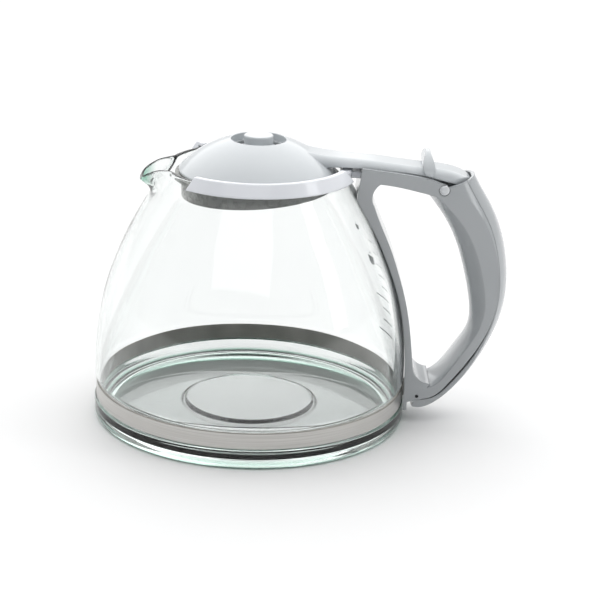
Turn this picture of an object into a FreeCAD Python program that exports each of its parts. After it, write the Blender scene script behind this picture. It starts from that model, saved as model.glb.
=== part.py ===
import FreeCAD, Part
import math
import os
import Sketcher
from FreeCAD import Placement, Rotation, Vector

# Glass jug of a drip coffee maker: blown glass bowl, steel foot band, hollow
# plastic handle with a clipped-in back cover, neck collar and a hinged lid.
# Z is up, X runs from the spout (-X) through the glass axis to the handle (+X),
# and the origin is on the glass axis at the level of the foot.

DOC = FreeCAD.newDocument("coffee_jug")
SHEET = DOC.addObject("Spreadsheet::Sheet", "Sizes")

SIZES = [
    # glass
    ("foot_radius", 75.0), ("glass_wall", 2.2), ("rim_height", 123.0),
    ("spout_half_angle", 22.5),
    ("floor_height", 5.5), ("foot_ring_width", 3.6),
    # foot band and its clamp
    ("band_low", 9.9), ("band_height", 7.4), ("band_thick", 0.5),
    ("band_radius", 74.2), ("liner_thick", 0.35), ("clamp_x", 80.6),
    ("ear_gap", 3.0), ("ear_length", 8.5), ("clamp_screw_radius", 1.5),
    ("screw_head_radius", 2.8), ("nut_width", 5.5), ("nut_thick", 2.4),
    # handle
    ("handle_width", 25.0), ("handle_wall", 2.3), ("seam_depth", 4.6),
    ("strut_clearance", 0.6), ("vent_radius", 0.8),
    # hinge
    ("hinge_x", 88.5), ("hinge_z", 116.9), ("pin_radius", 2.0),
    ("pin_head_radius", 2.4), ("running_fit", 0.06), ("well_radius", 14.3),
    ("lug_radius", 4.2), ("lug_width", 10.0),
    # collar
    ("collar_low", 120.3), ("collar_height", 6.2), ("collar_top_radius", 45.4),
    ("collar_base_radius", 48.0), ("collar_bore", 43.8), ("tongue_width", 14.0),
    # lid
    ("lid_x", 1.2), ("lid_radius", 37.1), ("lid_edge", 119.6),
    ("lid_top", 136.3), ("lid_wall", 1.8), ("recess_radius", 12.95),
    ("recess_depth", 3.4), ("hub_radius", 6.9), ("arm_width", 19.0), ("arm_crown", 3.8),
    ("tab_top", 133.3),
    ("flange_radius", 38.9), ("skirt_radius", 35.6), ("skirt_wall", 1.6),
]
for row, (alias, value) in enumerate(SIZES, start=1):
    SHEET.set("A%d" % row, alias)
    SHEET.set("B%d" % row, str(value))
    SHEET.setAlias("B%d" % row, alias)
DOC.recompute()
S = {alias: float(SHEET.get(alias)) for alias, _ in SIZES}
NODES = []

HALF_WIDTH = S["handle_width"] / 2
HINGE = Vector(S["hinge_x"], 0, S["hinge_z"])


# ---------------------------------------------------------------- helpers

def bind(obj, **cells):
    """Bind properties of obj to expressions of the sheet."""
    for prop, cell in cells.items():
        obj.setExpression(prop.replace("__", "."), cell)
    return obj


def node(obj, label):
    """Register obj as a finished sub-part under its own label."""
    obj.Label = label
    NODES.append(obj)
    return obj


def feature(label, shape):
    """A sub-part whose shape is worked out with Part's own functions."""
    obj = DOC.addObject("Part::Feature", label)
    obj.Shape = shape
    return node(obj, label)


def origin_plane(body, role):
    return next(f for f in body.Origin.OriginFeatures if f.Role == role)


def profile_sketch(body, name, corners, role="XZ_Plane"):
    """Closed outline through corners; each corner is a pair of sheet expressions."""
    sketch = body.newObject("Sketcher::SketchObject", name)
    sketch.AttachmentSupport = (origin_plane(body, role), [""])
    sketch.MapMode = "FlatFace"
    values = [(evaluate(a), evaluate(b)) for a, b in corners]
    count = len(values)
    for i, (x, y) in enumerate(values):
        nx, ny = values[(i + 1) % count]
        sketch.addGeometry(Part.LineSegment(Vector(x, y, 0), Vector(nx, ny, 0)), False)
    for i in range(count):
        sketch.addConstraint(Sketcher.Constraint("Coincident", i, 2, (i + 1) % count, 1))
    for i, (cells, (x, y)) in enumerate(zip(corners, values)):
        wanted = (("DistanceX", cells[0], x, -2), ("DistanceY", cells[1], y, -1))
        for kind, cell, value, axis in wanted:
            if abs(value) < 1e-9:
                sketch.addConstraint(Sketcher.Constraint("PointOnObject", i, 1, axis))
                continue
            at = sketch.addConstraint(Sketcher.Constraint(kind, -1, 1, i, 1, value))
            sketch.setExpression("Constraints[%d]" % at, cell)
    return sketch


def evaluate(cell):
    """Value in mm of a simple arithmetic expression over the sheet's aliases."""
    total = 0.0
    for term in cell.replace("- ", "+ -").split("+ "):
        term = term.strip()
        sign = -1.0 if term.startswith("-") else 1.0
        factor = sign
        for part in term.lstrip("-").split(" * "):
            part = part.strip()
            factor *= S[part[6:]] if part.startswith("Sizes.") else float(part)
        total += factor
    return total


def turned(label, corners, **placing):
    """PartDesign body turned about its own Z axis from an outline in X and Z."""
    body = DOC.addObject("PartDesign::Body", label)
    sketch = profile_sketch(body, label + "_outline", corners)
    turn = body.newObject("PartDesign::Revolution", label + "_turn")
    turn.Profile = sketch
    turn.ReferenceAxis = (sketch, ["V_Axis"])
    turn.Angle = 360
    body.Tip = turn
    for prop, cell in placing.items():
        body.setExpression("Placement.Base." + prop, cell)
    return node(body, label)


def arc(a, b, c):
    return Part.Arc(a, b, c).toShape()


def line(a, b):
    return Part.LineSegment(a, b).toShape()


def spline(points):
    curve = Part.BSplineCurve()
    curve.interpolate(points)
    return curve.toShape()


def flat(points):
    """Points of the X-Z plane as vectors."""
    return [Vector(x, 0, z) for x, z in points]


def slab(edges, half):
    """Solid of an X-Z outline that reaches half to both sides in Y."""
    face = Part.Face(Part.Wire(Part.sortEdges(edges)[0]))
    face.translate(Vector(0, -half, 0))
    return face.extrude(Vector(0, 2 * half, 0))


def polygon(points):
    pts = flat(points)
    return [line(a, b) for a, b in zip(pts, pts[1:] + pts[:1])]


def block(x0, x1, y0, y1, z0, z1):
    return Part.makeBox(x1 - x0, y1 - y0, z1 - z0, Vector(x0, y0, z0))


def rod(radius, y0, y1, x, z):
    return Part.makeCylinder(radius, y1 - y0, Vector(x, y0, z), Vector(0, 1, 0))


def revolve(edges):
    face = Part.Face(Part.Wire(Part.sortEdges(edges)[0]))
    return face.revolve(Vector(0, 0, 0), Vector(0, 0, 1), 360)


def single(shape):
    """The one solid of a boolean result, the largest if slivers are left."""
    return max(shape.Solids, key=lambda s: s.Volume)


def rounded(solid, radius, wanted):
    """Fillet the edges for which wanted(edge) is true, one try for all of them."""
    edges = [e for e in solid.Edges if wanted(e)]
    result = solid.makeFillet(radius, edges)
    if result.isNull() or not result.isValid():
        raise RuntimeError("fillet failed")
    return single(result)


# ---------------------------------------------------------------- glass

# Outside of the bowl from just above the band to the neck: radius, height.
BOWL = [(74.7, 20.0), (74.4, 36.0), (72.7, 50.0), (69.8, 64.0), (65.0, 78.0),
        (59.0, 92.0), (52.5, 104.0)]
# Neck above the bowl: height, radius and how far the spout is drawn out there.
NECK = [(104.0, 52.5, 0.0), (107.5, 50.5, 0.0), (110.0, 49.05, 0.4), (112.0, 47.9, 1.8),
        (113.7, 46.85, 4.6), (115.5, 45.75, 8.6), (117.5, 44.5, 11.6), (120.5, 42.9, 13.2),
        (125.0, 41.2, 14.2)]
# Steps of the lip curve on each side of the spout's middle.
SPOUT_STEPS = 6
# The lip of the spout droops: X and height of the cut, the same for all Y.
DROOP = [(-62.0, 111.5), (-56.6, 115.7), (-52.3, 119.0), (-48.8, 121.1), (-45.5, 122.4),
         (-41.0, 123.0)]


def neck_ring(height, radius, reach):
    """Closed curve round the neck: a round back and the spout drawn out towards -X."""
    half = math.radians(S["spout_half_angle"])
    back = Vector(radius, 0, height)
    if not reach:
        ends = [Vector(-radius * math.cos(a), -radius * math.sin(a), height) for a in (-half, half)]
        front = Vector(-radius, 0, height)
        return Part.Wire([arc(ends[0], front, ends[1]), arc(ends[1], back, ends[0])])
    points = []
    for step in range(-SPOUT_STEPS, SPOUT_STEPS + 1):
        off = half * step / SPOUT_STEPS
        out = radius + reach * math.cos(0.5 * math.pi * step / SPOUT_STEPS) ** 2
        points.append(Vector(-out * math.cos(off), -out * math.sin(off), height))
    spout = Part.BSplineCurve()
    along = [Vector(math.sin(a), -math.cos(a), 0) for a in (-half, half)]
    spout.interpolate(Points=points, InitialTangent=along[0], FinalTangent=along[1])
    return Part.Wire([spout.toShape(), arc(points[-1], back, points[0])])


def bowl_solid(inset):
    """Solid of the glass outside, or of the room inside when inset is the wall."""
    foot = S["foot_radius"]
    groove = S["band_radius"] - S["band_thick"] - S["liner_thick"]
    side = [Vector(r - inset, 0, z) for r, z in BOWL]
    if inset:
        floor = S["floor_height"]
        start = Vector(foot - 6.5, 0, floor)
        edges = [line(Vector(0, 0, floor + 1.2), Vector(30, 0, floor + 1.2)),
                 line(Vector(30, 0, floor + 1.2), Vector(32, 0, floor)),
                 line(Vector(32, 0, floor), start),
                 arc(start, Vector(foot - 3.6, 0, floor + 2.6), Vector(BOWL[0][0] - inset, 0, 14.0)),
                 line(Vector(BOWL[0][0] - inset, 0, 14.0), side[0])]
    else:
        ring = foot - 2.2
        low, high = S["band_low"] - 0.4, S["band_low"] + S["band_height"] + 0.3
        kick = ring - S["foot_ring_width"]
        edges = [line(Vector(0, 0, 3.6), Vector(31, 0, 3.6)),
                 line(Vector(31, 0, 3.6), Vector(33, 0, 2.6)),
                 line(Vector(33, 0, 2.6), Vector(kick - 3.0, 0, 2.6)),
                 line(Vector(kick - 3.0, 0, 2.6), Vector(kick, 0, 0)),
                 line(Vector(kick, 0, 0), Vector(ring, 0, 0)),
                 arc(Vector(ring, 0, 0), Vector(foot - 0.6, 0, 0.7), Vector(foot, 0, 2.4)),
                 line(Vector(foot, 0, 2.4), Vector(foot, 0, low - 0.8)),
                 line(Vector(foot, 0, low - 0.8), Vector(groove, 0, low)),
                 line(Vector(groove, 0, low), Vector(groove, 0, high)),
                 line(Vector(groove, 0, high), side[0])]
    base = 3.6 if not inset else S["floor_height"] + 1.2
    edges += [spline(side),
              line(side[-1], Vector(0, 0, BOWL[-1][1])),
              line(Vector(0, 0, BOWL[-1][1]), Vector(0, 0, base))]
    low_part = revolve(edges)
    rings = [neck_ring(z, r - inset, d) for z, r, d in NECK]
    return low_part.fuse(Part.makeLoft(rings, True, False))


def glass_jug():
    top = NECK[-1][0] + 5
    keep = slab([spline(flat(DROOP)), line(*flat([DROOP[-1], (70, 123.0)])),
                 line(*flat([(70, 123.0), (70, top)])), line(*flat([(70, top), (-62, top)])),
                 line(*flat([(-62, top), DROOP[0]]))], 70)
    shell = bowl_solid(0).cut(bowl_solid(S["glass_wall"])).cut(keep)
    return feature("glass_jug", single(shell))


# ---------------------------------------------------------------- foot band

def ring_at(radius, thick, low, height):
    outer = Part.makeCylinder(radius, height, Vector(0, 0, low))
    return outer.cut(Part.makeCylinder(radius - thick, height, Vector(0, 0, low)))


def foot_band():
    """Steel strap round the foot whose two ends turn out as ears into the handle."""
    low, tall, thick = S["band_low"], S["band_height"], S["band_thick"]
    gap = S["ear_gap"] / 2
    ring = ring_at(S["band_radius"], thick, low, tall)
    ring = ring.cut(block(60, 90, -gap, gap, low - 1, low + tall + 1))
    reach = S["band_radius"] + S["ear_length"]
    hole = rod(S["clamp_screw_radius"] + 0.3, -10, 10, S["clamp_x"], low + tall / 2)
    band = ring
    for side in (-1, 1):
        y0, y1 = sorted((side * gap, side * (gap + thick)))
        band = band.fuse(block(S["band_radius"] - thick - 0.02, reach, y0, y1, low, low + tall))
    feature("foot_band", single(band.cut(hole).removeSplitter()))
    liner = ring_at(S["band_radius"] - thick, S["liner_thick"], low - 0.2, tall + 0.5)
    wide = gap + thick + 0.4
    feature("band_liner", single(liner.cut(block(60, 90, -wide, wide, low - 1, low + tall + 1))))


def clamp_fastener():
    """Cross-head screw and square nut that draw the two ears of the band together."""
    mid = S["band_low"] + S["band_height"] / 2
    face = S["ear_gap"] / 2 + S["band_thick"]
    grip_sum = "Sizes.ear_gap + Sizes.band_thick * 2 + Sizes.nut_thick"
    corners = [("0", "0"), ("Sizes.clamp_screw_radius", "0"),
               ("Sizes.clamp_screw_radius", grip_sum + " + 0.8"),
               ("Sizes.screw_head_radius", grip_sum + " + 0.8"),
               ("Sizes.screw_head_radius", grip_sum + " + 2.2"),
               ("0", grip_sum + " + 2.6")]
    screw = turned("clamp_screw", corners)
    grip = S["ear_gap"] + 2 * S["band_thick"] + S["nut_thick"] + 0.8
    screw.Placement = Placement(Vector(S["clamp_x"], grip - face, mid), Rotation(Vector(1, 0, 0), 90))
    nut = DOC.addObject("Part::Box", "nut_blank")
    bind(nut, Length="Sizes.nut_width", Height="Sizes.nut_width", Width="Sizes.nut_thick")
    nut.Placement.Base = Vector(S["clamp_x"] - S["nut_width"] / 2, face, mid - S["nut_width"] / 2)
    bore = DOC.addObject("Part::Cylinder", "nut_bore")
    bind(bore, Radius="Sizes.clamp_screw_radius", Height="Sizes.nut_thick + 2")
    bore.Placement = Placement(Vector(S["clamp_x"], face + S["nut_thick"] + 1, mid),
                               Rotation(Vector(1, 0, 0), 90))
    cut = DOC.addObject("Part::Cut", "nut_cut")
    cut.Base, cut.Tool = nut, bore
    node(cut, "clamp_nut")


# ---------------------------------------------------------------- handle

# Cross-sections of the grip from the hinge down to the foot: the finger side
# (x, z), the back (x, z), the bulge of the finger side and of the back.
GRIP = [((80.0, 114.5), (103.3, 122.6), 3.0, 9.0),
        ((84.6, 108.6), (108.2, 113.8), 5.0, 7.6),
        ((91.2, 99.2), (114.7, 102.2), 7.0, 6.2),
        ((96.9, 87.4), (119.3, 88.6), 8.0, 5.2),
        ((101.2, 73.5), (121.6, 73.2), 8.0, 4.6),
        ((104.4, 58.0), (120.4, 56.2), 6.5, 4.2),
        ((104.2, 46.5), (115.6, 41.9), 3.2, 3.6),
        ((99.6, 36.3), (108.6, 29.0), 1.6, 3.0),
        ((92.4, 24.9), (99.4, 17.0), 1.2, 2.6),
        ((86.4, 19.6), (89.8, 9.0), 1.0, 2.2),
        ((80.6, 18.9), (78.4, 6.9), 0.9, 1.6)]
# Width of the open seam between handle and back cover at each of those sections.
SEAM = [0.02, 0.02, 0.02, 0.02, 0.02, 0.02, 0.3, 0.9, 0.9, 0.5, 0.02]
# Strut along the glass, finger side, from the upper corner to the foot.
STRUT = [(56.2, 108.0), (60.2, 98.0), (64.6, 88.0), (69.2, 75.0), (73.0, 62.0),
         (75.4, 50.0), (77.2, 36.0), (78.0, 28.6)]
# Upper beam: its top from the strut to the hinge, and its underside.
BEAM_TOP = [(49.7, 126.2), (63.0, 124.8), (74.4, 123.3), (83.0, 121.6)]
BEAM_LOW = [(58.6, 118.9), (66.0, 118.0), (75.0, 116.2), (86.5, 113.4)]


def grip_wire(inner, back, bulge, crown, inset):
    """Section of the grip: bulged finger side, flat cheeks and crowned back."""
    inner, back = Vector(inner[0], 0, inner[1]), Vector(back[0], 0, back[1])
    out = (back - inner).normalize()
    inner, back = inner + out * inset, back - out * inset
    side = Vector(0, HALF_WIDTH - inset, 0)
    front, rear = inner + out * bulge, back - out * crown
    edges = [arc(front - side, inner, front + side), line(front + side, rear + side),
             arc(rear + side, back, rear - side), line(rear - side, front - side)]
    return Part.Wire(edges)


def grip_solid(inset, stations):
    return Part.makeLoft([grip_wire(*station, inset) for station in stations], True, False)


def seam_line(opened):
    """Points of the seam between handle and back cover, on the finger side of it when opened is 1."""
    points = []
    for (inner, back, _, _), width in zip(GRIP, SEAM):
        a, b = Vector(inner[0], 0, inner[1]), Vector(back[0], 0, back[1])
        points.append(b + (a - b).normalize() * (S["seam_depth"] + opened * width))
    first, last = points[0], points[-1]
    head = first + (first - points[1]) * 0.6
    tail = last + (last - points[-2]) * 0.35
    return [head] + points + [tail]


def behind_seam(opened):
    """Everything behind the seam, towards the palm, as a wide slab."""
    points = seam_line(opened)
    head, tail = points[0], points[-1]
    far_top, far_low = Vector(150, 0, head.z), Vector(150, 0, -20)
    low = Vector(tail.x, 0, -20)
    edges = [spline(points), line(tail, low), line(low, far_low),
             line(far_low, far_top), line(far_top, head)]
    return slab(edges, 30)


def frame_solid():
    """Upper beam and strut as one angle, before the grip joins it."""
    inside_glass = [(73.4, 6.5), (73.0, 30.0), (69.5, 55.0), (62.0, 76.0), (51.5, 98.0),
                    (47.4, 108.0)]
    outer = [spline(flat(inside_glass)), line(*flat([inside_glass[-1], (48.2, 113.7)])),
             line(*flat([(48.2, 113.7), BEAM_TOP[0]])),
             spline(flat(BEAM_TOP)),
             line(*flat([BEAM_TOP[-1], (90.0, 119.0)])), line(*flat([(90.0, 119.0), (90.0, 112.6)])),
             line(*flat([(90.0, 112.6), BEAM_LOW[-1]])),
             spline(flat(BEAM_LOW)),
             arc(*flat([BEAM_LOW[0], (55.6, 115.2), STRUT[0]])),
             spline(flat(STRUT)),
             arc(*flat([STRUT[-1], (80.6, 23.0), (86.6, 20.2)])),
             line(*flat([(86.6, 20.2), (84.0, 16.0)])), line(*flat([(84.0, 16.0), (84.0, 8.4)])),
             line(*flat([(84.0, 8.4), (77.0, 6.5)])), line(*flat([(77.0, 6.5), inside_glass[0]]))]
    return slab(outer, HALF_WIDTH)


def glass_room():
    """Space of the bowl, band and neck that the strut has to leave free."""
    gap = S["strut_clearance"]
    wide = S["foot_radius"] + 0.35
    side = [Vector(r + gap, 0, z) for r, z in BOWL] + [Vector(r + gap, 0, z) for z, r, _ in NECK[1:]]
    edges = [line(Vector(0, 0, 0), Vector(wide, 0, 0)), line(Vector(wide, 0, 0), Vector(wide, 0, 19)),
             line(Vector(wide, 0, 19), side[0]), spline(side),
             line(side[-1], Vector(0, 0, side[-1].z)), line(Vector(0, 0, side[-1].z), Vector(0, 0, 0))]
    return revolve(edges)


def hinge_well():
    """Hollow in the top of the handle where the round tail of the lid swings down."""
    half = S["arm_width"] / 2 + 0.7
    radius = S["well_radius"]
    start, stop = 68, 75
    rim = [(0, half), (7.0, half), (10.0, half - 0.8), (12.5, half - 3.2), (radius - 0.3, 3.5)]
    outline = rim + [(r, -y) for r, y in reversed(rim)]
    points = [HINGE + Vector(r, y, 0) for r, y in outline]
    face = Part.Face(Part.makePolygon(points + points[:1]))
    face.rotate(HINGE, Vector(0, 1, 0), start)
    sweep = face.revolve(HINGE, Vector(0, -1, 0), start + stop)
    lug_half = S["lug_width"] / 2 + 0.6
    lug_room = rod(S["lug_radius"] + 0.7, -lug_half, lug_half, HINGE.x, HINGE.z)
    above = block(HINGE.x - 5.2, HINGE.x + 5.0, -half, half, HINGE.z - 1.1, HINGE.z + 14)
    return sweep.fuse([lug_room, above])


def beam_channel():
    """Open channel along the top of the beam under the arm of the lid."""
    half = S["arm_width"] / 2 + 0.7
    wall = S["handle_wall"]
    low = [(x, z + wall) for x, z in BEAM_LOW]
    low[0] = (57.0, low[0][1])
    step = block(49, 57.5, -half, half, 124.4, 135)
    over = [(low[-1][0], 135), (low[0][0], 135)]
    edges = [spline(flat(low)), line(*flat([low[-1], over[0]])), line(*flat(over)),
             line(*flat([over[1], low[0]]))]
    return slab(edges, half).fuse(step)


def clamp_pocket():
    """Pocket in the foot of the handle for the ears, the screw and the nut."""
    low, tall = S["band_low"], S["band_height"]
    return block(70, 87.5, -7.2, 7.2, low - 0.6, low + tall + 0.4)


def handle_parts():
    grip = grip_solid(0, GRIP)
    solid = single(frame_solid().fuse(grip).cut(glass_room()))
    hollow = grip_solid(S["handle_wall"], GRIP[3:9])
    reach = HALF_WIDTH + 1
    pin_hole = rod(S["pin_radius"] + 0.02, -reach, reach, HINGE.x, HINGE.z)
    head_seat = rod(S["pin_head_radius"] + 0.15, -reach, -HALF_WIDTH + 1.0, HINGE.x, HINGE.z)
    far_seat = rod(S["pin_head_radius"] + 0.15, HALF_WIDTH - 1.0, reach, HINGE.x, HINGE.z)
    vent = rod(S["vent_radius"], -reach, 0, S["clamp_x"], S["band_low"] + S["band_height"] / 2)
    cavity = hollow.fuse([hinge_well(), beam_channel(), clamp_pocket()])
    body = solid.cut(behind_seam(1)).cut(cavity)
    body = body.cut(pin_hole.fuse([head_seat, far_seat, vent]))
    half = S["tongue_width"] / 2 + 0.15
    body = body.cut(block(40, 54.5, -half, half, S["collar_low"] - 0.15, S["collar_low"] + 3.35))
    feature("handle_body", single(body))
    cover = grip.common(behind_seam(0)).cut(cavity)
    feature("handle_cover", single(cover))


def hinge_pin():
    """Pin through the cheeks of the handle with one domed head and a push-on cap."""
    seat = HALF_WIDTH - 1.0
    dome = HALF_WIDTH + 0.75
    head = S["pin_head_radius"]
    crown = lambda y0, y1: revolve([
        line(Vector(0, 0, y0), Vector(head, 0, y0)), line(Vector(head, 0, y0), Vector(head, 0, y1 - 0.8)),
        arc(Vector(head, 0, y1 - 0.8), Vector(head * 0.78, 0, y1 - 0.24), Vector(0.6, 0, y1)),
        line(Vector(0.6, 0, y1), Vector(0, 0, y1)), line(Vector(0, 0, y1), Vector(0, 0, y0))])
    shaft = Part.makeCylinder(S["pin_radius"], 2 * seat, Vector(0, 0, -seat))
    near = feature("hinge_pin", single(shaft.fuse(crown(seat, dome)).removeSplitter()))
    near.Placement = Placement(HINGE, Rotation(Vector(1, 0, 0), 90))
    far = feature("pin_cap", single(crown(seat, dome)))
    far.Placement = Placement(HINGE, Rotation(Vector(1, 0, 0), -90))


# ---------------------------------------------------------------- neck collar

def collar_ring(outline, start, stop):
    """Part of a ring about the glass axis between two angles from +X, in degrees."""
    pts = flat(outline)
    wire = Part.makePolygon(pts + pts[:1])
    face = Part.Face(wire)
    face.rotate(Vector(0, 0, 0), Vector(0, 0, 1), start)
    return face.revolve(Vector(0, 0, 0), Vector(0, 0, 1), stop - start)


def slanted_end(angle, lean, side):
    """Big box on one side of a plane that stands on the radius at angle, top leaning back."""
    box = block(20, 70, min(0, 40 * side), max(0, 40 * side), -30, 30)
    box.rotate(Vector(0, 0, 0), Vector(1, 0, 0), lean)
    box.translate(Vector(0, 0, S["collar_low"] + S["collar_height"] / 2))
    box.rotate(Vector(0, 0, 0), Vector(0, 0, 1), angle)
    return box


def neck_collar():
    low, top = S["collar_low"], S["collar_low"] + S["collar_height"]
    inner = S["collar_bore"]
    lip = S["rim_height"] + 0.25
    wing = [(inner, low), (S["collar_base_radius"], low), (S["collar_base_radius"] - 0.1, low + 0.7),
            (S["collar_top_radius"], top - 0.3), (S["collar_top_radius"] - 0.5, top),
            (inner - 0.6, top), (inner - 0.6, lip + 1.3), (inner - 2.8, lip + 1.3), (inner - 2.8, lip),
            (inner, lip)]
    back = [(inner, low), (inner + 1.9, low), (inner + 1.9, lip + 1.3), (inner - 2.8, lip + 1.3),
            (inner - 2.8, lip), (inner, lip)]
    near = collar_ring(wing, -134, -13)
    near = near.cut(slanted_end(-19.7, 38, 1)).cut(slanted_end(-129.2, -23.6, -1))
    far = near.mirror(Vector(0, 0, 0), Vector(0, 1, 0))
    far = far.cut(block(-60, 60, 0, 60, lip + 1.3, top + 1))
    ring = near.fuse([far, collar_ring(back, -32, 32)])
    half = S["tongue_width"] / 2
    tongue = block(inner + 0.6, 54.2, -half, half, low, low + 3.0)
    feature("neck_collar", single(ring.fuse(tongue)))


# ---------------------------------------------------------------- lid

# Top of the arm from inside the dome to the round tail, and its lower edge.
ARM_TOP = [(20.0, 133.3), (30.0, 131.0), (46.0, 129.3), (58.0, 128.4), (70.0, 127.0),
           (80.0, 126.0), (89.0, 125.2), (96.0, 123.4), (101.4, 120.6)]
ARM_LOW = [(101.4, 120.6), (99.6, 119.0), (94.0, 119.2), (86.0, 121.0), (79.6, 122.5),
           (63.0, 124.4), (50.0, 125.5), (30.0, 125.4)]


def at_lid(shape):
    """Move a shape turned about the origin to the middle of the lid."""
    shape.translate(Vector(S["lid_x"], 0, 0))
    return shape


def dome_shell():
    """Spherical cap with a rolled edge and a round recess in its middle."""
    wide, low, top = S["lid_radius"], S["lid_edge"], S["lid_top"]
    mouth = S["recess_radius"]
    skirt = low + 2.0
    centre = (top ** 2 + mouth ** 2 - skirt ** 2 - wide ** 2) / (2 * (top - skirt))
    ball = math.hypot(wide, skirt - centre)

    def on_ball(radius, inset):
        return Vector(radius, 0, centre + math.sqrt((ball - inset) ** 2 - radius ** 2))

    wall = S["lid_wall"]
    floor = top - S["recess_depth"] - 1.5
    shell = wide - wall
    inner_low = on_ball(shell - 1.2, wall)
    edges = [arc(Vector(wide - 1.4, 0, low), Vector(wide - 0.2, 0, low + 0.8), Vector(wide, 0, skirt)),
             arc(Vector(wide, 0, skirt), on_ball(26, 0), on_ball(mouth + 0.7, 0)),
             arc(on_ball(mouth + 0.7, 0), Vector(mouth + 0.15, 0, top - 0.15), Vector(mouth, 0, top - 0.8)),
             line(Vector(mouth, 0, top - 0.8), Vector(mouth, 0, floor)),
             line(Vector(mouth, 0, floor), Vector(mouth + 1.5, 0, floor)),
             line(Vector(mouth + 1.5, 0, floor), on_ball(mouth + 1.5, wall)),
             arc(on_ball(mouth + 1.5, wall), on_ball(26, wall), inner_low),
             line(inner_low, Vector(shell - 1.2, 0, low)),
             line(Vector(shell - 1.2, 0, low), Vector(wide - 1.4, 0, low))]
    void = [line(Vector(0, 0, low - 1), Vector(shell - 1.2, 0, low - 1)),
            line(Vector(shell - 1.2, 0, low - 1), inner_low),
            arc(inner_low, on_ball(26, wall), on_ball(mouth + 1.5, wall)),
            line(on_ball(mouth + 1.5, wall), on_ball(mouth, 0)),
            line(on_ball(mouth, 0), Vector(mouth, 0, top + 5)),
            line(Vector(mouth, 0, top + 5), Vector(0, 0, top + 5)),
            line(Vector(0, 0, top + 5), Vector(0, 0, low - 1))]
    return at_lid(revolve(edges)), at_lid(revolve(void))


def arm_solid(half, drop=0.0, crown=0.0):
    """Arm of the lid with a round tail, its top edges rounded to the crown radius."""
    top = [(x, z - drop) for x, z in ARM_TOP]
    side = slab([spline(flat(top)), spline(flat([top[-1]] + ARM_LOW[1:])),
                 line(*flat([ARM_LOW[-1], (20.0, ARM_LOW[-1][1])])),
                 line(*flat([(20.0, ARM_LOW[-1][1]), top[0]]))], half)
    if crown:
        side = rounded(side, crown, lambda e: e.BoundBox.YLength < 1e-3 and e.BoundBox.ZMax > 133
                       and e.Length > 60)
    tip = ARM_TOP[-1][0] - (S["arm_width"] / 2 - half)
    plan = block(10, tip - half, -half, half, 100, 140).fuse(
        Part.makeCylinder(half, 40, Vector(tip - half, 0, 100)))
    return side.common(plan)


def lid_cover():
    half = S["arm_width"] / 2
    arm = single(arm_solid(half, 0.0, S["arm_crown"]))
    wall = S["lid_wall"]
    shell, void = dome_shell()
    core = arm_solid(half - wall, wall).common(block(41, 84, -half, half, 100, 140))
    core = core.fuse(core.translated(Vector(0, 0, -3)))
    arm = arm.cut(core).cut(void)
    lug_half = S["lug_width"] / 2
    radius = S["lug_radius"]
    lug = rod(radius, -lug_half, lug_half, HINGE.x, HINGE.z).fuse(
        block(HINGE.x - radius, HINGE.x + radius, -lug_half, lug_half, HINGE.z, HINGE.z + 5.4))
    bore = rod(S["pin_radius"] + S["running_fit"], -20, 20, HINGE.x, HINGE.z)
    cover = shell.fuse([arm, lug]).cut(bore)
    feature("lid_cover", single(cover))


def arm_underplate():
    half = S["arm_width"] / 2 - S["lid_wall"]
    low = [(x, z) for x, z in ARM_LOW if 42 < x < 83]
    ends = [(83.6, 121.7)] + low + [(41.4, 125.5)]
    lifted = [(x, z + 0.9) for x, z in ends]
    edges = [spline(flat(ends)), spline(flat(lifted)), line(*flat([ends[0], lifted[0]])),
             line(*flat([ends[-1], lifted[-1]]))]
    feature("arm_underplate", slab(edges, half))


def arch(half, base, crown, corner):
    """Prism along X over the arm: flat sides, a flat or round crown with rounded corners."""
    turn = corner * (1 - math.sqrt(0.5))
    right = [Vector(70, half, base), Vector(70, half, crown - corner),
             Vector(70, half - turn, crown - turn), Vector(70, half - corner, crown)]
    left = [Vector(v.x, -v.y, v.z) for v in right]
    edges = [line(right[0], right[1]), arc(right[1], right[2], right[3]), line(left[1], left[0]),
             arc(left[3], left[2], left[1]), line(left[0], right[0])]
    if (right[3] - left[3]).Length > 1e-6:
        edges.append(line(right[3], left[3]))
    wire = Part.Wire(Part.sortEdges(edges)[0])
    return Part.Face(wire).extrude(Vector(20, 0, 0))


def thumb_tab():
    """Leaf that stands across the arm and straddles it, pushed back to open the lid."""
    front = [(82.6, 122.3), (84.0, 126.2), (82.9, 130.2), (81.2, 134.5)]
    rear = [(80.2, 134.5), (78.4, 129.9), (78.2, 126.6), (80.0, 122.8)]
    leaf = [spline(flat(front)), spline(flat(rear)), line(*flat([front[-1], rear[0]])),
            line(*flat([rear[-1], front[0]]))]
    half = S["arm_width"] / 2
    outer = arch(half + 0.55, 110, S["tab_top"], half)
    saddle = arch(half + 0.02, 100, 126.2, S["arm_crown"])
    feature("thumb_tab", single(slab(leaf, half + 2).common(outer).cut(saddle)))


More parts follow.
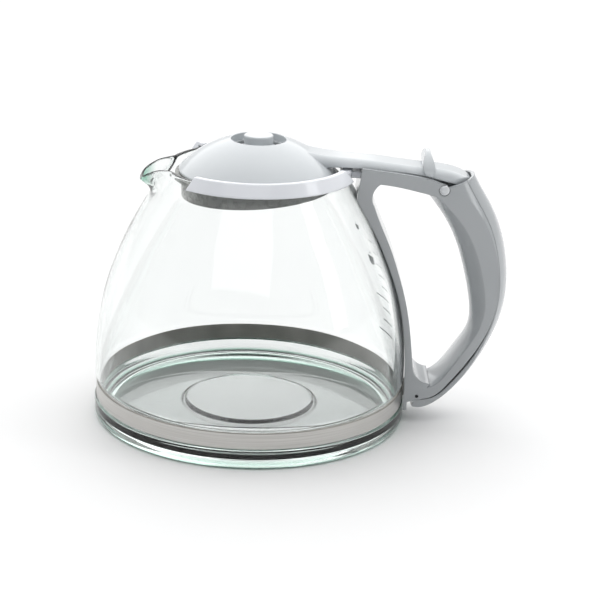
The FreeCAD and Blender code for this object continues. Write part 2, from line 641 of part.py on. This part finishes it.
def lid_insert():
    """Skirt with a flange under the dome, a drain floor and six drain slots."""
    wide, wall = S["skirt_radius"], S["skirt_wall"]
    top, flange = S["lid_edge"], S["flange_radius"]
    low = 104.0
    edges = polygon([(wide, low), (wide, top - 1.5), (flange, top - 1.5), (flange, top),
                     (wide - wall, top), (wide - wall, low)])
    shell = revolve(edges)
    plate = Part.makeCylinder(wide - wall / 2, 1.5, Vector(0, 0, 114.2)).cut(
        Part.makeCylinder(9, 40, Vector(0, 0, 100)))
    slot = block(14, 26, -2.2, 2.2, 110, 118)
    for step in range(6):
        turned_slot = slot.copy()
        turned_slot.rotate(Vector(0, 0, 0), Vector(0, 0, 1), 60 * step + 30)
        plate = plate.cut(turned_slot)
    slope = [(60, 116.8), (30, 114.2), (-34, 108.6), (-60, 106.3)]
    below = slab(polygon([(-60, 60), (60, 60)] + slope), 60)
    insert = at_lid(shell.fuse(plate)).cut(below)
    feature("lid_insert", single(insert))


def drip_hub():
    """Raised button in the recess that opens the filter's drip stop, on a drain ring."""
    top = S["lid_top"] + 1.9
    button, ring = S["hub_radius"], S["recess_radius"] - 0.1
    floor = S["lid_top"] - S["recess_depth"]
    cap = revolve([line(Vector(0, 0, top - 1.6), Vector(button - 1.5, 0, top - 1.6)),
                   line(Vector(button - 1.5, 0, top - 1.6), Vector(button - 1.5, 0, 115.8)),
                   line(Vector(button - 1.5, 0, 115.8), Vector(button, 0, 115.8)),
                   line(Vector(button, 0, 115.8), Vector(button, 0, top - 0.6)),
                   arc(Vector(button, 0, top - 0.6), Vector(button - 0.2, 0, top - 0.2),
                       Vector(button - 0.7, 0, top)),
                   line(Vector(button - 0.7, 0, top), Vector(0, 0, top)),
                   line(Vector(0, 0, top), Vector(0, 0, top - 1.6))])
    disc = Part.makeCylinder(ring, 1.5, Vector(0, 0, floor - 1.5)).cut(
        Part.makeCylinder(button - 0.7, 4, Vector(0, 0, floor - 3)))
    gap = Part.makeCylinder(ring - 1.3, 4, Vector(0, 0, floor - 3)).cut(
        Part.makeCylinder(button + 1.0, 4, Vector(0, 0, floor - 3)))
    low, high = floor - 5, floor + 5
    bars = block(-20, 20, -1.2, 1.2, low, high).fuse(block(-3.4, 3.4, -20, 20, low, high))
    hub = at_lid(cap.fuse(disc.cut(gap.cut(bars))))
    feature("drip_hub", single(hub))


glass_jug()
foot_band()
clamp_fastener()
handle_parts()
hinge_pin()
neck_collar()
lid_cover()
arm_underplate()
thumb_tab()
lid_insert()
drip_hub()

DOC.recompute()
for obj in DOC.Objects:
    if "Invalid" in obj.State or "Error" in obj.State:
        raise RuntimeError("%s failed: %s" % (obj.Label, obj.State))
os.makedirs("parts", exist_ok=True)
for part in NODES:
    shape = part.Shape
    if shape.isNull() or not shape.isValid():
        raise RuntimeError("%s has no valid shape" % part.Label)
    shape.exportStep("parts/%s.step" % part.Label)
    box = shape.optimalBoundingBox(True, False)
    print("%-16s %2d solid %9.1f mm3  X %.1f..%.1f Y %.1f..%.1f Z %.1f..%.1f" % (
        part.Label, len(shape.Solids), shape.Volume, box.XMin, box.XMax, box.YMin, box.YMax,
        box.ZMin, box.ZMax))
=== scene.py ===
import math

import bpy
from mathutils import Matrix, Vector


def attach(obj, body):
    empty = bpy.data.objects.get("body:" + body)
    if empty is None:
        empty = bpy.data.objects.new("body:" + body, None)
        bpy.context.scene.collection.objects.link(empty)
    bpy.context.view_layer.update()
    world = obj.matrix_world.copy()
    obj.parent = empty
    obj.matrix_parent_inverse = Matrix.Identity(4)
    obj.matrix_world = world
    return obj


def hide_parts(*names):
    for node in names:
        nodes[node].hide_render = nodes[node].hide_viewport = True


# Glass jug of a drip coffee maker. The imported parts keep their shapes; this script adds the
# seamless glass, the printed cup scale, materials, light and camera. Lengths are in metres,
# and in millimetres in the tables of the glass and the cup scale.

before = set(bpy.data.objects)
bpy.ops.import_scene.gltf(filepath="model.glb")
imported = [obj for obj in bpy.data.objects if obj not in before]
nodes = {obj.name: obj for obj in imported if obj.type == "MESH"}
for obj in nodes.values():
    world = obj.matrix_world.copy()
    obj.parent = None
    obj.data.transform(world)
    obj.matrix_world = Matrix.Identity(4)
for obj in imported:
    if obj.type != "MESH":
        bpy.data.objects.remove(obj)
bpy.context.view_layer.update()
MM = 0.001


# ---------------------------------------------------------------- mesh helpers

def make_mesh(name, points, faces, smooth=True):
    """New object from points and faces, linked to the scene."""
    mesh = bpy.data.meshes.new(name)
    mesh.from_pydata([tuple(p) for p in points], [], faces)
    mesh.validate()
    mesh.update()
    if smooth:
        mesh.shade_smooth()
    else:
        mesh.shade_flat()
    piece = bpy.data.objects.new(name, mesh)
    bpy.context.scene.collection.objects.link(piece)
    return piece


def eased(table, x):
    """Smooth value at x of a table of (x, value) rows, by cubic pieces that don't overshoot."""
    if x <= table[0][0]:
        return table[0][1]
    if x >= table[-1][0]:
        return table[-1][1]
    slopes = [(b[1] - a[1]) / (b[0] - a[0]) for a, b in zip(table, table[1:])]

    def tangent(i):
        if i == 0:
            return slopes[0]
        if i == len(slopes):
            return slopes[-1]
        turns_back = slopes[i - 1] * slopes[i] < 0
        return 0.0 if turns_back else 0.5 * (slopes[i - 1] + slopes[i])

    at = max(i for i in range(len(slopes)) if table[i][0] <= x)
    (x0, y0), (x1, y1) = table[at], table[at + 1]
    width = x1 - x0
    t = (x - x0) / width
    return ((2 * t ** 3 - 3 * t ** 2 + 1) * y0
            + (t ** 3 - 2 * t ** 2 + t) * width * tangent(at)
            + (3 * t ** 2 - 2 * t ** 3) * y1
            + (t ** 3 - t ** 2) * width * tangent(at + 1))


def softened(points, radius):
    """Outline with its inner corners rounded off."""
    steps = 4
    longest = 0.45  # part of a side that a corner may take
    result = [points[0]]
    for before, corner, after in zip(points, points[1:], points[2:]):
        c = Vector(corner)
        a, b = Vector(before) - c, Vector(after) - c
        reach = min(radius, longest * a.length, longest * b.length)
        start, stop = c + a.normalized() * reach, c + b.normalized() * reach
        for i in range(steps + 1):
            t = i / steps
            result.append(tuple(start * (1 - t) ** 2 + c * 2 * t * (1 - t) + stop * t ** 2))
    return result + [points[-1]]


# ---------------------------------------------------------------- glass

# The same sizes, in millimetres, as the glass in the CAD model.
# Height and outer radius from just above the strap to the neck.
BOWL = [(20.0, 74.7), (36.0, 74.4), (50.0, 72.7), (64.0, 69.8), (78.0, 65.0), (92.0, 59.0),
        (104.0, 52.5), (107.5, 50.5), (110.0, 49.05), (112.0, 47.9), (113.7, 46.85),
        (115.5, 45.75), (117.5, 44.5), (120.5, 42.9), (125.0, 41.2)]
# Height and how far the spout is drawn out there.
DRAWN = [(107.5, 0.0), (110.0, 0.4), (112.0, 1.8), (113.7, 4.6), (115.5, 8.6), (117.5, 11.6),
         (120.5, 13.2), (125.0, 14.2)]
# X and height of the drooping rim along the spout.
DROOP = [(-62.0, 111.5), (-56.6, 115.7), (-52.3, 119.0), (-48.8, 121.1), (-45.5, 122.4),
         (-41.0, 123.0)]
# Radius and height of the foot below the bowl, outside and inside.
FOOT_OUT = [(0.0, 3.6), (31.0, 3.6), (33.0, 2.6), (66.2, 2.6), (69.2, 0.0), (72.8, 0.0),
            (74.4, 0.7), (75.0, 2.4), (75.0, 8.7), (73.35, 9.5), (73.35, 17.6), (74.7, 20.0)]
FOOT_IN = [(0.0, 6.7), (30.0, 6.7), (32.0, 5.5), (68.5, 5.5), (71.2, 7.6), (72.4, 11.0),
           (72.5, 16.0), (72.5, 20.0)]
FOOT_TOP = 20.0
WALL = 2.2
RIM = 123.0
LOWEST_LIP = 112.0
SPOUT_HALF = math.radians(22.5)
FOOT_OUT_CORNER = 0.8
FOOT_IN_CORNER = 1.2
TURNS = 288
ROWS = 70
BEAD_STEPS = 8


def neck_out(angle, height):
    """Outer radius of bowl, neck and spout at an angle from +X and a height."""
    off = abs(math.pi - (angle % (2 * math.pi)))
    if off >= SPOUT_HALF:
        return eased(BOWL, height)
    share = math.cos(0.5 * math.pi * off / SPOUT_HALF) ** 2
    return eased(BOWL, height) + eased(DRAWN, height) * share


def rim_height(angle):
    """Height of the rim at an angle: level all round, drooping along the spout."""
    reach = lambda height: neck_out(angle, height) * math.cos(angle)
    if eased(DROOP, reach(RIM)) >= RIM - 1e-6:
        return RIM
    low, high = LOWEST_LIP, RIM
    for _ in range(40):
        middle = 0.5 * (low + high)
        if eased(DROOP, reach(middle)) > middle:
            low = middle
        else:
            high = middle
    return low


def glass_column(angle):
    """Outline of the glass at an angle, from the axis below, over the rim, to the axis inside."""
    bead = WALL / 2
    top = rim_height(angle) - bead
    heights = [FOOT_TOP + (top - FOOT_TOP) * i / ROWS for i in range(1, ROWS + 1)]
    outside = softened(FOOT_OUT, FOOT_OUT_CORNER) + [(neck_out(angle, h), h) for h in heights]
    inside = softened(FOOT_IN, FOOT_IN_CORNER) + [(neck_out(angle, h) - WALL, h) for h in heights]
    middle = neck_out(angle, top) - bead
    turns = [math.pi * i / BEAD_STEPS for i in range(1, BEAD_STEPS)]
    rim = [(middle + bead * math.cos(a), top + bead * math.sin(a)) for a in turns]
    return outside + rim + inside[::-1]


def glass_jug():
    """Blown glass as one closed mesh: foot, bowl and spout, a fire-polished rim, the inside."""
    angles = [2 * math.pi * step / TURNS for step in range(TURNS)]
    columns = [glass_column(angle) for angle in angles]
    points = [Vector((0, 0, columns[0][end][1])) * MM for end in (0, -1)]
    for angle, column in zip(angles, columns):
        points += [Vector((r * math.cos(angle), r * math.sin(angle), z)) * MM
                   for r, z in column[1:-1]]
    used = len(columns[0]) - 2
    vertex = lambda step, i: 2 + (step % TURNS) * used + i
    faces = []
    for step in range(TURNS):
        faces.append((0, vertex(step + 1, 0), vertex(step, 0)))
        faces.append((1, vertex(step, used - 1), vertex(step + 1, used - 1)))
        for i in range(used - 1):
            faces.append((vertex(step, i), vertex(step + 1, i),
                          vertex(step + 1, i + 1), vertex(step, i + 1)))
    return make_mesh("blown_glass", points, faces)


# ---------------------------------------------------------------- printed cup scale

# Tick marks: height in millimetres, first and last angle in degrees from +X.
TICKS = [(32.5, 26.8, 13.1), (38.8, 22.6, 13.1), (45.0, 22.6, 13.5), (50.9, 27.6, 14.0),
         (56.9, 21.6, 13.5), (63.0, 22.5, 16.0), (69.0, 22.5, 16.0), (75.4, 22.0, 17.0),
         (81.4, 23.0, 19.0)]
TICK_THICK = 0.6
# Cups: height in millimetres, angle in degrees, relative size.
CUPS = [(69.4, 26.4, 1.0), (86.2, 31.0, 0.6)]
# Outline of a cup of size 1: degrees and millimetres from its middle.
CUP_BOWL = [(-2.5, 2.2), (-2.0, -1.6), (-0.7, -2.6), (1.2, -2.6), (2.2, -1.4), (2.5, 2.2)]
PRINT_LIFT = 0.05


def print_patch(outline):
    """Points on the outside of the glass for a closed loop of (angle in degrees, height in mm)."""
    points = []
    for degrees, height in outline:
        a = math.radians(degrees)
        r = eased(BOWL, height) + PRINT_LIFT
        points.append(Vector((r * math.cos(a), r * math.sin(a), height)) * MM)
    return points


def cup_scale():
    """Tick marks and small cup outlines for measuring, on the far side beside the handle."""
    points, faces = [], []

    def add(outline):
        start = len(points)
        points.extend(print_patch(outline))
        faces.append(tuple(range(start, len(points))))

    def bar(first, last, height, thick):
        pieces = 4
        angles = [first + (last - first) * i / pieces for i in range(pieces + 1)]
        low = [(angle, height - thick / 2) for angle in angles]
        high = [(angle, height + thick / 2) for angle in reversed(angles)]
        add(low + high)

    for height, first, last in TICKS:
        bar(first, last, height, TICK_THICK)
    for height, angle, size in CUPS:
        add([(angle + across * size, height + up * size) for across, up in CUP_BOWL])
        bar(angle - 0.7 * size, angle + 0.7 * size, height + 3.9 * size, 0.7 * size)
    return make_mesh("printed_cup_scale", points, faces, smooth=False)


# ---------------------------------------------------------------- materials

class Nodes:
    """Short way to build a material's node tree."""

    def __init__(self, name, edge=0.0):
        """An edge above 0 is the radius by which the shading rounds sharp corners."""
        self.edge = edge
        self.material = bpy.data.materials.new(name)
        self.material.use_nodes = True
        self.tree = self.material.node_tree
        self.shader = self.tree.nodes["Principled BSDF"]
        self.place = self.add("ShaderNodeTexCoord").outputs["Object"]

    def add(self, kind, **values):
        made = self.tree.nodes.new(kind)
        for key, value in values.items():
            setattr(made, key, value)
        return made

    def link(self, source, target):
        self.tree.links.new(source, target)

    def noise(self, stretch, scale, detail=3.0):
        """Noise over the object's own coordinates, stretched per axis."""
        mapping = self.add("ShaderNodeMapping")
        mapping.inputs["Scale"].default_value = stretch
        self.link(self.place, mapping.inputs["Vector"])
        made = self.add("ShaderNodeTexNoise")
        made.inputs["Scale"].default_value = scale
        made.inputs["Detail"].default_value = detail
        self.link(mapping.outputs["Vector"], made.inputs["Vector"])
        return made.outputs["Fac"]

    def ramp(self, factor, low, high, positions=(0.3, 0.7)):
        made = self.add("ShaderNodeValToRGB")
        for element, position, colour in zip(made.color_ramp.elements, positions, (low, high)):
            element.position = position
            element.color = (*colour, 1.0)
        self.link(factor, made.inputs["Fac"])
        return made.outputs["Color"]

    def band(self, factor, low, high):
        made = self.add("ShaderNodeMapRange")
        made.inputs["To Min"].default_value = low
        made.inputs["To Max"].default_value = high
        self.link(factor, made.inputs["Value"])
        return made.outputs["Result"]

    def fade(self, value, start, stop):
        """1 where value is at start, falling to 0 at stop."""
        made = self.add("ShaderNodeMapRange")
        made.inputs["From Min"].default_value = stop
        made.inputs["From Max"].default_value = start
        self.link(value, made.inputs["Value"])
        return made.outputs["Result"]

    def combine(self, operation, first, second):
        made = self.add("ShaderNodeMath", operation=operation)
        self.link(first, made.inputs[0])
        self.link(second, made.inputs[1])
        return made.outputs["Value"]

    def bump(self, height, distance):
        made = self.add("ShaderNodeBump")
        made.inputs["Distance"].default_value = distance
        self.link(height, made.inputs["Height"])
        if self.edge:
            corner = self.add("ShaderNodeBevel", samples=6)
            corner.inputs["Radius"].default_value = self.edge
            self.link(corner.outputs["Normal"], made.inputs["Normal"])
        self.link(made.outputs["Normal"], self.shader.inputs["Normal"])

    def set(self, **values):
        for key, value in values.items():
            self.shader.inputs[key.replace("_", " ")].default_value = value


EVEN = (1, 1, 1)
MOULD_EDGE = 0.0009


def glossy_plastic(name, low, high):
    """Injection-moulded plastic: faint mottling, an uneven gloss, a slow surface ripple."""
    made = Nodes(name, MOULD_EDGE)
    made.link(made.ramp(made.noise(EVEN, 38.0), low, high), made.shader.inputs["Base Color"])
    made.link(made.band(made.noise(EVEN, 260.0), 0.10, 0.17), made.shader.inputs["Roughness"])
    made.bump(made.noise(EVEN, 70.0, 1.0), 0.00002)
    made.set(Coat_Weight=0.35, Coat_Roughness=0.04, IOR=1.5)
    return made.material


GLASS_CLEAR = (1.0, 1.0, 1.0)
GLASS_EDGE = (0.26, 0.52, 0.41)
GLASS_BODY = (0.30, 0.70, 0.58, 1.0)
GLASS_DENSITY = 12.0


def edge_depth(made):
    """How much glass light has run along: 1 at the lip of the spout and at the very foot."""
    split = made.add("ShaderNodeSeparateXYZ")
    made.link(made.place, split.inputs["Vector"])
    foot = made.fade(split.outputs["Z"], 0.0006, 0.0030)
    lip = made.combine("MULTIPLY", made.fade(split.outputs["X"], -0.0530, -0.0470),
                       made.fade(split.outputs["Z"], 0.1145, 0.1120))
    return made.combine("MAXIMUM", foot, lip)


def clear_glass():
    """Soda-lime glass with a slow wave from blowing, greener at its edges."""
    made = Nodes("soda_lime_glass")
    made.link(made.band(made.noise(EVEN, 90.0), 0.0, 0.012), made.shader.inputs["Roughness"])
    made.bump(made.noise((1, 1, 0.4), 16.0, 1.0), 0.00012)
    made.set(Transmission_Weight=1.0, IOR=1.5)
    made.link(made.ramp(edge_depth(made), GLASS_CLEAR, GLASS_EDGE, (0.0, 1.0)),
              made.shader.inputs["Base Color"])
    tint = made.add("ShaderNodeVolumeAbsorption")
    tint.inputs["Color"].default_value = GLASS_BODY
    tint.inputs["Density"].default_value = GLASS_DENSITY
    made.link(tint.outputs["Volume"], made.tree.nodes["Material Output"].inputs["Volume"])
    return made.material


def brushed_steel():
    """Strap steel brushed along its length, with fine level scratches."""
    made = Nodes("brushed_strap_steel")
    grain = made.noise((6, 6, 1500), 3.0, 4.0)
    made.link(made.ramp(grain, (0.46, 0.45, 0.43), (0.62, 0.61, 0.59)),
              made.shader.inputs["Base Color"])
    made.link(made.band(grain, 0.26, 0.42), made.shader.inputs["Roughness"])
    made.bump(grain, 0.00001)
    made.set(Metallic=1.0)
    return made.material


def plated_steel():
    """Plating on the clamp screw and nut, slightly mottled."""
    made = Nodes("plated_screw_steel")
    mottle = made.noise(EVEN, 700.0)
    made.link(made.ramp(mottle, (0.55, 0.55, 0.56), (0.68, 0.68, 0.69)),
              made.shader.inputs["Base Color"])
    made.link(made.band(mottle, 0.18, 0.34), made.shader.inputs["Roughness"])
    made.set(Metallic=1.0)
    return made.material


def matte(name, low, high, roughness, scale=420.0):
    """Dull surface with a fine grain in colour, gloss and height."""
    made = Nodes(name)
    grain = made.noise(EVEN, scale)
    made.link(made.ramp(grain, low, high), made.shader.inputs["Base Color"])
    made.link(made.band(grain, *roughness), made.shader.inputs["Roughness"])
    made.bump(grain, 0.00002)
    return made.material


def dress(piece, material):
    piece.data.materials.clear()
    piece.data.materials.append(material)


# ---------------------------------------------------------------- stage, light and camera

def pale_floor():
    half = 6.0
    corners = [(-half, -half, 0), (half, -half, 0), (half, half, 0), (-half, half, 0)]
    piece = make_mesh("floor", corners, [(0, 1, 2, 3)], smooth=False)
    made = Nodes("floor_white")
    made.link(made.ramp(made.noise(EVEN, 5.0), (0.84, 0.84, 0.84), (0.86, 0.86, 0.86)),
              made.shader.inputs["Base Color"])
    made.set(Roughness=0.7)
    dress(piece, made.material)


def softbox(name, where, target, size, power, lights_matte=True):
    """Rectangular lamp; with lights_matte off it shows in gloss and glass only."""
    lamp = bpy.data.lights.new(name, "AREA")
    lamp.shape = "RECTANGLE"
    lamp.size, lamp.size_y = size
    lamp.energy = power
    piece = bpy.data.objects.new(name, lamp)
    piece.visible_diffuse = lights_matte
    piece.location = where
    piece.rotation_mode = "QUATERNION"
    piece.rotation_quaternion = (Vector(target) - Vector(where)).to_track_quat("-Z", "Y")
    bpy.context.scene.collection.objects.link(piece)


FRONT_SHADE = (0.13, 0.136, 0.142)
BACK_WHITE = (0.84, 0.84, 0.84)
WHITE_FROM = 0.62  # 0 is straight ahead of the jug's near side, 1 straight behind the far side


def studio_air():
    """White room whose front wall is in shade, so that surfaces turned to it go darker."""
    world = bpy.data.worlds.new("studio")
    bpy.context.scene.world = world
    world.use_nodes = True
    tree = world.node_tree
    background = tree.nodes["Background"]
    background.inputs["Strength"].default_value = 1.0
    direction = tree.nodes.new("ShaderNodeTexCoord").outputs["Generated"]
    split = tree.nodes.new("ShaderNodeSeparateXYZ")
    tree.links.new(direction, split.inputs["Vector"])
    wall = tree.nodes.new("ShaderNodeValToRGB")
    near, far = wall.color_ramp.elements
    near.position, near.color = 0.0, (*FRONT_SHADE, 1.0)
    far.position, far.color = WHITE_FROM, (*BACK_WHITE, 1.0)
    shift = tree.nodes.new("ShaderNodeMapRange")
    shift.inputs["From Min"].default_value = -1.0
    tree.links.new(split.outputs["Y"], shift.inputs["Value"])
    tree.links.new(shift.outputs["Result"], wall.inputs["Fac"])
    tree.links.new(wall.outputs["Color"], background.inputs["Color"])


def lights():
    """Wide soft light from above, a panel seen in gloss only, and a weak lamp on the handle side."""
    studio_air()
    ceiling = bpy.data.lights.new("ceiling", "SUN")
    ceiling.energy = 2.0
    ceiling.angle = math.radians(110)
    piece = bpy.data.objects.new("ceiling", ceiling)
    piece.rotation_euler = (math.radians(-22), math.radians(-8), 0)
    bpy.context.scene.collection.objects.link(piece)
    softbox("front_panel", (-0.17, -0.95, 1.10), (0, 0, 0.10), (1.25, 1.15), 3.2, False)
    softbox("side", (1.0, -0.35, 0.55), (0.05, 0, 0.08), (0.25, 0.9), 1.8)
    bpy.context.scene.view_settings.view_transform = "Standard"


CAMERA_DISTANCE = 0.9889
CAMERA_AIM_HEIGHT = 0.060
CAMERA_RISE = math.radians(18.736)
CAMERA_TILT = math.radians(0.165)
CAMERA_TURN = math.radians(-1.417)
CAMERA_ROLL = math.radians(2.008)
FOCAL_LENGTH = 123.63
SENSOR_WIDTH = 36.0


def camera():
    """Long lens, looking down on the jug a little, with the slight roll of a hand-held frame."""
    pitch = CAMERA_RISE + CAMERA_TILT
    ahead = Vector((-math.sin(CAMERA_TURN) * math.cos(pitch),
                    math.cos(CAMERA_TURN) * math.cos(pitch),
                    -math.sin(pitch)))
    level = ahead.cross(Vector((0, 0, 1))).normalized()
    upright = level.cross(ahead)
    right = level * math.cos(CAMERA_ROLL) + upright * math.sin(CAMERA_ROLL)
    up = upright * math.cos(CAMERA_ROLL) - level * math.sin(CAMERA_ROLL)
    lens = bpy.data.cameras.new("view")
    lens.sensor_width = SENSOR_WIDTH
    lens.lens = FOCAL_LENGTH
    lens.clip_start, lens.clip_end = 0.05, 20.0
    piece = bpy.data.objects.new("view", lens)
    axes = Matrix((right, up, -ahead)).transposed()
    place = Vector((0, -CAMERA_DISTANCE * math.cos(CAMERA_RISE),
                    CAMERA_AIM_HEIGHT + CAMERA_DISTANCE * math.sin(CAMERA_RISE)))
    piece.matrix_world = Matrix.Translation(place) @ axes.to_4x4()
    bpy.context.scene.collection.objects.link(piece)
    bpy.context.scene.camera = piece


# ---------------------------------------------------------------- the jug

camera()
lights()
pale_floor()

glass = glass_jug()
dress(glass, clear_glass())
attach(glass, "jug")
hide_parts("glass_jug")

scale = cup_scale()
dress(scale, matte("scale_print", (0.07, 0.075, 0.08), (0.10, 0.105, 0.11), (0.4, 0.6)))
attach(scale, "jug")

# Handle: the lid's grey plastic painted darker, as painted shade for the little light that falls on
# the handle.
SHADED_HANDLE = glossy_plastic("handle_grey_painted_shade", (0.40, 0.42, 0.435), (0.42, 0.44, 0.455))
LID = glossy_plastic("lid_grey", (0.60, 0.63, 0.65), (0.62, 0.65, 0.67))
# Collar: the lid's grey plastic painted lighter, as painted light and highlight from the front panel
# falling on it.
LIT_COLLAR = glossy_plastic("collar_grey_painted_light", (0.80, 0.82, 0.86), (0.82, 0.84, 0.88))
PIN = glossy_plastic("pin_grey", (0.66, 0.68, 0.70), (0.70, 0.72, 0.74))
# Insert: dark grey that is painted shade, the shade inside the neck under the lid put into the
# insert's colour.
SHADED_INSERT = matte("insert_grey_painted_shade", (0.22, 0.225, 0.21), (0.26, 0.265, 0.25), (0.22, 0.34))
# The sheet inside the strap is painted shade: a grey sheet standing for the shadow gap between strap
# and glass, lightened to make up for the little light on the far strap.
STRAP_SHADE_SHEET = matte("strap_shade_sheet", (0.52, 0.50, 0.46), (0.74, 0.71, 0.66), (0.35, 0.50), 60.0)
STEEL = brushed_steel()
SCREW = plated_steel()

FINISH = {
    "foot_band": STEEL, "band_liner": STRAP_SHADE_SHEET, "clamp_screw": SCREW, "clamp_nut": SCREW,
    "handle_body": SHADED_HANDLE, "handle_cover": SHADED_HANDLE, "hinge_pin": PIN, "pin_cap": PIN,
    "neck_collar": LIT_COLLAR, "lid_cover": LID, "arm_underplate": LID, "thumb_tab": LID,
    "lid_insert": SHADED_INSERT, "drip_hub": LID,
}
for label, finish in FINISH.items():
    dress(nodes[label], finish)

bpy.context.view_layer.update()
